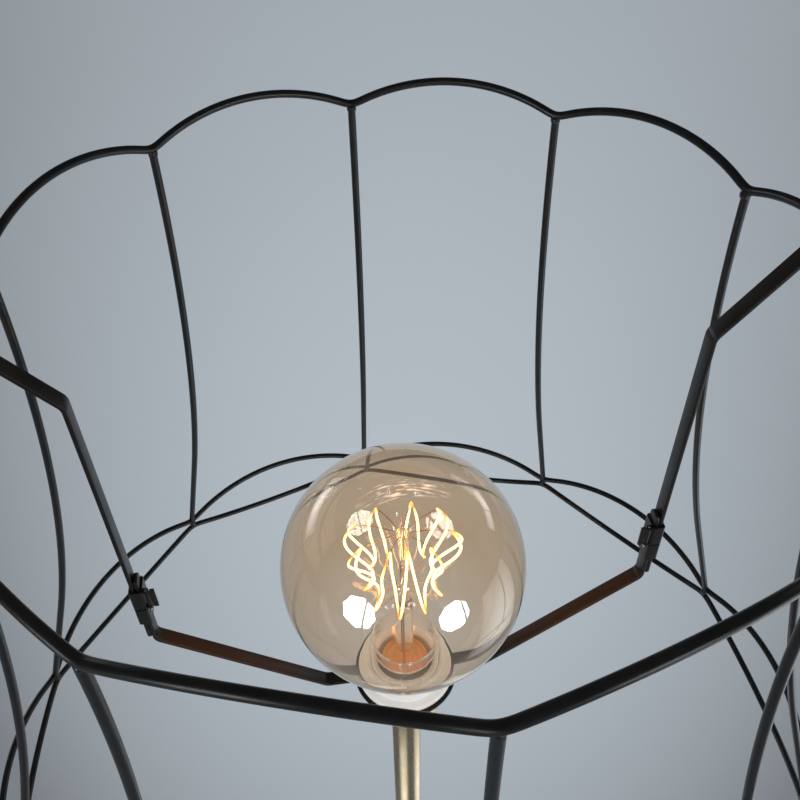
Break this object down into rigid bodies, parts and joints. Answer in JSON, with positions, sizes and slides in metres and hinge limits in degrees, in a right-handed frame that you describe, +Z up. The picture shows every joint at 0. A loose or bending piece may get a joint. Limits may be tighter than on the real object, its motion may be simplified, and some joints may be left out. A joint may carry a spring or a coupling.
{
  "type": "floor lamp",
  "caption": "Floor lamp with a bare scalloped wire shade frame on adjustable strip hangers, a large clear globe bulb and a slim brass post on a round weighted base.",
  "frame": {"origin": "centre of the underside of the base, on the floor", "axes": "+Z up along the post, +X through the right hanger, +Y to the rear, where the cord enters"},
  "size_m": [0.5038, 0.5, 1.5159],
  "materials": {
    "felt": "pressed felt",
    "iron": "as cast, dark",
    "satin_brass": "satin, lacquered",
    "raw_brass": "turned",
    "steel": "zinc plated",
    "black_bush": "matt moulded",
    "white_plastic": "glossy moulded",
    "lead_jacket": "matt jacket",
    "black_wire": "satin black powder coat",
    "black_strip": "satin black powder coat",
    "dark_rivet": "gloss black",
    "tinted_glass": "clear, faint amber tint",
    "clear_glass": "clear",
    "cap_brass": "rolled, bright",
    "cap_black": "black vitrite",
    "support_wire": "fine drawn wire",
    "filament_glow": "glowing carbon strand"
  },
  "bodies": {
    "stand": {"floor_pad": "felt", "ballast_weight": "iron", "base_cover": "satin_brass", "base_washer": "steel", "base_nut": "steel", "cord_bush": "black_bush", "terminal_block": "white_plastic", "foot_rod": "raw_brass", "foot_plug": "raw_brass", "foot_collar": "satin_brass", "lower_post_tube": "satin_brass", "post_joiner": "raw_brass", "post_joint_ring": "satin_brass", "upper_post_tube": "satin_brass", "head_plug": "raw_brass", "head_rod": "raw_brass", "inner_lead": "lead_jacket", "holder_cup": "satin_brass", "cup_nut": "steel", "holder_core": "white_plastic", "terminal_screws": "steel", "centre_contact": "raw_brass", "screw_shell": "raw_brass", "holder_sleeve": "white_plastic"},
    "locking_ring": {"retaining_ring": "white_plastic"},
    "carrier": {"carrier_ring": "black_strip", "left_carrier_arm": "black_strip", "right_carrier_arm": "black_strip", "left_clip": "black_strip", "right_clip": "black_strip", "left_clip_rivet": "dark_rivet", "right_clip_rivet": "dark_rivet", "left_lever_pin": "dark_rivet", "right_lever_pin": "dark_rivet"},
    "left_clip_lever": {"left_lever": "black_strip"},
    "right_clip_lever": {"right_lever": "black_strip"},
    "shade": {"top_ring": "black_wire", "upper_bottom_ring": "black_wire", "lower_bottom_ring": "black_wire", "left_hanger": "black_strip", "right_hanger": "black_strip", "rib_01": "black_wire", "rib_02": "black_wire", "rib_03": "black_wire", "rib_04": "black_wire", "rib_05": "black_wire", "rib_06": "black_wire", "rib_07": "black_wire", "rib_08": "black_wire", "rib_09": "black_wire", "rib_10": "black_wire"},
    "bulb": {"bulb_globe": "tinted_glass", "bulb_cap": "cap_brass", "cap_insulator": "cap_black", "cap_contact": "cap_brass", "bulb_stem": "clear_glass", "stem_leads": "support_wire", "upper_supports": "support_wire", "lower_supports": "support_wire", "filament": "filament_glow"}
  },
  "joints": [
    {"name": "carrier_turn", "type": "hinge", "parent": "stand", "child": "carrier", "pos_m": [0, 0, 1.2304], "axis": [0, 0, 1], "continuous": true},
    {"name": "shade_height", "type": "slide", "parent": "carrier", "child": "shade", "axis": [0, 0, 1], "range_m": [-0.06, 0.012]},
    {"name": "left_lever_fold", "type": "hinge", "parent": "carrier", "child": "left_clip_lever", "pos_m": [-0.127, -0.0036, 1.335], "axis": [0, 0, 1], "range_deg": [0, 80]},
    {"name": "right_lever_fold", "type": "hinge", "parent": "carrier", "child": "right_clip_lever", "pos_m": [0.127, -0.0036, 1.335], "axis": [0, 0, -1], "range_deg": [0, 80]},
    {"name": "bulb_screw", "type": "hinge", "parent": "stand", "child": "bulb", "pos_m": [0, 0, 1.2304], "axis": [0, 0, 1], "range_deg": [0, 90]},
    {"name": "ring_screw", "type": "hinge", "parent": "stand", "child": "locking_ring", "pos_m": [0, 0, 1.2304], "axis": [0, 0, 1], "range_deg": [0, 90]}
  ]
}
